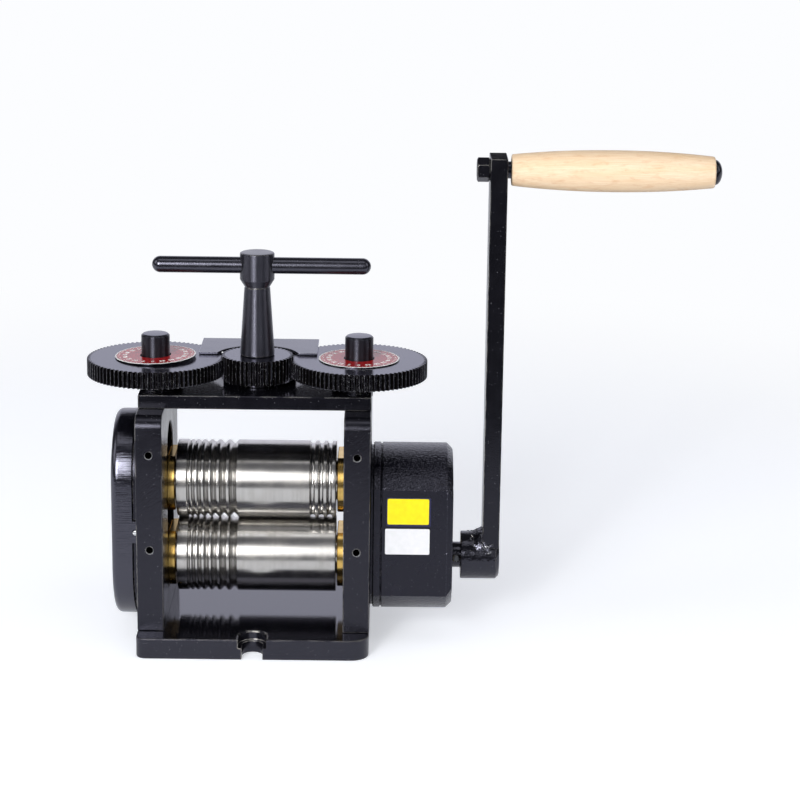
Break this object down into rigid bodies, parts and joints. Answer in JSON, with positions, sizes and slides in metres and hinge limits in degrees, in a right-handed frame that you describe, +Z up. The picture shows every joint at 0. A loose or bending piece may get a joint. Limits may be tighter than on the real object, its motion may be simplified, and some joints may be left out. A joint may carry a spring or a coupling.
{
  "type": "jewellers rolling mill",
  "caption": "Bench rolling mill for jewellers: black frame, grooved and flat steel rolls, geared crank with a wooden grip, tee handle that turns both red-dialled adjusting screws.",
  "frame": {"origin": "centre of the underside of the base plate, midway between the side plates", "axes": "+X to the right, towards the crank, along the rolls; +Y away from the operator, along the feed; +Z up"},
  "size_m": [0.2978, 0.104, 0.2345],
  "materials": {
    "black_paint": "semi-gloss enamel",
    "black_gloss": "high gloss enamel",
    "blackened_steel": "oil blackened",
    "roll_steel": "hardened, ground and polished",
    "gear_steel": "machined and oiled",
    "zinc_steel": "bright zinc",
    "bronze": "turned",
    "dial_red": "red enamel with pale marks",
    "grip_wood": "thin clear varnish",
    "weld_steel": "rough weld under paint"
  },
  "bodies": {
    "frame": {"base_plate": "black_paint", "left_side_plate": "black_paint", "right_side_plate": "black_paint", "top_bridge": "black_paint", "left_cover_plate": "black_paint", "gearbox_plate": "black_paint", "gearbox_cover": "black_paint", "index_plate": "black_paint", "index_block": "black_paint", "left_cover": "black_gloss", "bridge_screw_1": "blackened_steel", "bridge_screw_2": "blackened_steel", "bridge_screw_3": "blackened_steel", "bridge_screw_4": "blackened_steel", "index_screw_1": "blackened_steel", "index_screw_2": "blackened_steel", "gearbox_screw_1": "blackened_steel", "gearbox_screw_2": "blackened_steel", "gearbox_screw_3": "blackened_steel", "gearbox_screw_4": "blackened_steel", "base_screw_1": "zinc_steel", "base_screw_2": "zinc_steel", "base_screw_3": "zinc_steel", "base_screw_4": "zinc_steel", "cover_screw_front": "zinc_steel", "cover_screw_back": "zinc_steel", "left_lift_spring": "zinc_steel", "right_lift_spring": "zinc_steel", "left_lower_bush": "bronze", "right_lower_bush": "bronze", "input_bush": "bronze"},
    "crank": {"crank_shaft": "blackened_steel", "shaft_pin": "zinc_steel", "crank_hub": "black_paint", "crank_arm": "black_paint", "crank_weld": "weld_steel", "hub_set_screw": "blackened_steel", "grip_bolt": "blackened_steel", "grip_nut": "blackened_steel"},
    "grip": {"grip": "grip_wood"},
    "layshaft": {"layshaft": "gear_steel"},
    "lower_roll": {"lower_roll": "roll_steel", "lower_roll_gear": "gear_steel", "output_gear": "gear_steel"},
    "upper_bearing": {"left_upper_bush": "bronze", "right_upper_bush": "bronze"},
    "upper_roll": {"upper_roll": "roll_steel", "upper_roll_gear": "gear_steel"},
    "tee": {"tee_hub": "black_paint", "tee_bar": "black_paint", "tee_pinion": "blackened_steel", "tee_spindle": "blackened_steel", "spindle_screw": "blackened_steel"},
    "left_gear": {"left_dial_gear": "blackened_steel", "left_dial": "dial_red"},
    "right_gear": {"right_dial_gear": "blackened_steel", "right_dial": "dial_red"},
    "left_screw": {"left_adjusting_screw": "blackened_steel"},
    "right_screw": {"right_adjusting_screw": "blackened_steel"}
  },
  "joints": [
    {"name": "crank_turn", "type": "hinge", "parent": "frame", "child": "crank", "pos_m": [0.1, 0, 0.03615], "axis": [1, 0, 0], "continuous": true},
    {"name": "grip_spin", "type": "hinge", "parent": "crank", "child": "grip", "pos_m": [0.166, 0, 0.2248], "axis": [1, 0, 0], "continuous": true},
    {"name": "layshaft_turn", "type": "hinge", "parent": "frame", "child": "layshaft", "pos_m": [0.07, 0, 0.06427], "axis": [1, 0, 0], "continuous": true},
    {"name": "lower_roll_turn", "type": "hinge", "parent": "frame", "child": "lower_roll", "pos_m": [0, 0, 0.03615], "axis": [1, 0, 0], "continuous": true},
    {"name": "bearing_lift", "type": "slide", "parent": "frame", "child": "upper_bearing", "axis": [0, 0, 1], "range_m": [-0.00038, 0.005], "deforming": ["left_lift_spring", "right_lift_spring"]},
    {"name": "upper_roll_turn", "type": "hinge", "parent": "upper_bearing", "child": "upper_roll", "pos_m": [0, 0, 0.0736], "axis": [1, 0, 0], "continuous": true},
    {"name": "tee_turn", "type": "hinge", "parent": "frame", "child": "tee", "pos_m": [0, 0, 0.15], "axis": [0, 0, 1], "range_deg": [-133, 1739]},
    {"name": "left_gear_turn", "type": "hinge", "parent": "frame", "child": "left_gear", "pos_m": [-0.04838, 0, 0.129], "axis": [0, 0, 1], "range_deg": [-901, 69]},
    {"name": "right_gear_turn", "type": "hinge", "parent": "frame", "child": "right_gear", "pos_m": [0.04838, 0, 0.129], "axis": [0, 0, 1], "range_deg": [-901, 69]},
    {"name": "left_screw_slide", "type": "slide", "parent": "left_gear", "child": "left_screw", "axis": [0, 0, 1], "range_m": [-0.00038, 0.005]},
    {"name": "right_screw_slide", "type": "slide", "parent": "right_gear", "child": "right_screw", "axis": [0, 0, 1], "range_m": [-0.00038, 0.005]}
  ],
  "couplings": [
    {"joint": "layshaft_turn", "follows": "crank_turn", "ratio": -0.5},
    {"joint": "lower_roll_turn", "follows": "crank_turn", "ratio": 0.25},
    {"joint": "upper_roll_turn", "follows": "crank_turn", "ratio": -0.25},
    {"joint": "tee_turn", "follows": "bearing_lift", "rad_per_m": 6069},
    {"joint": "left_gear_turn", "follows": "bearing_lift", "rad_per_m": -3141.6},
    {"joint": "right_gear_turn", "follows": "bearing_lift", "rad_per_m": -3141.6},
    {"joint": "left_screw_slide", "follows": "bearing_lift", "ratio": 1},
    {"joint": "right_screw_slide", "follows": "bearing_lift", "ratio": 1}
  ]
}
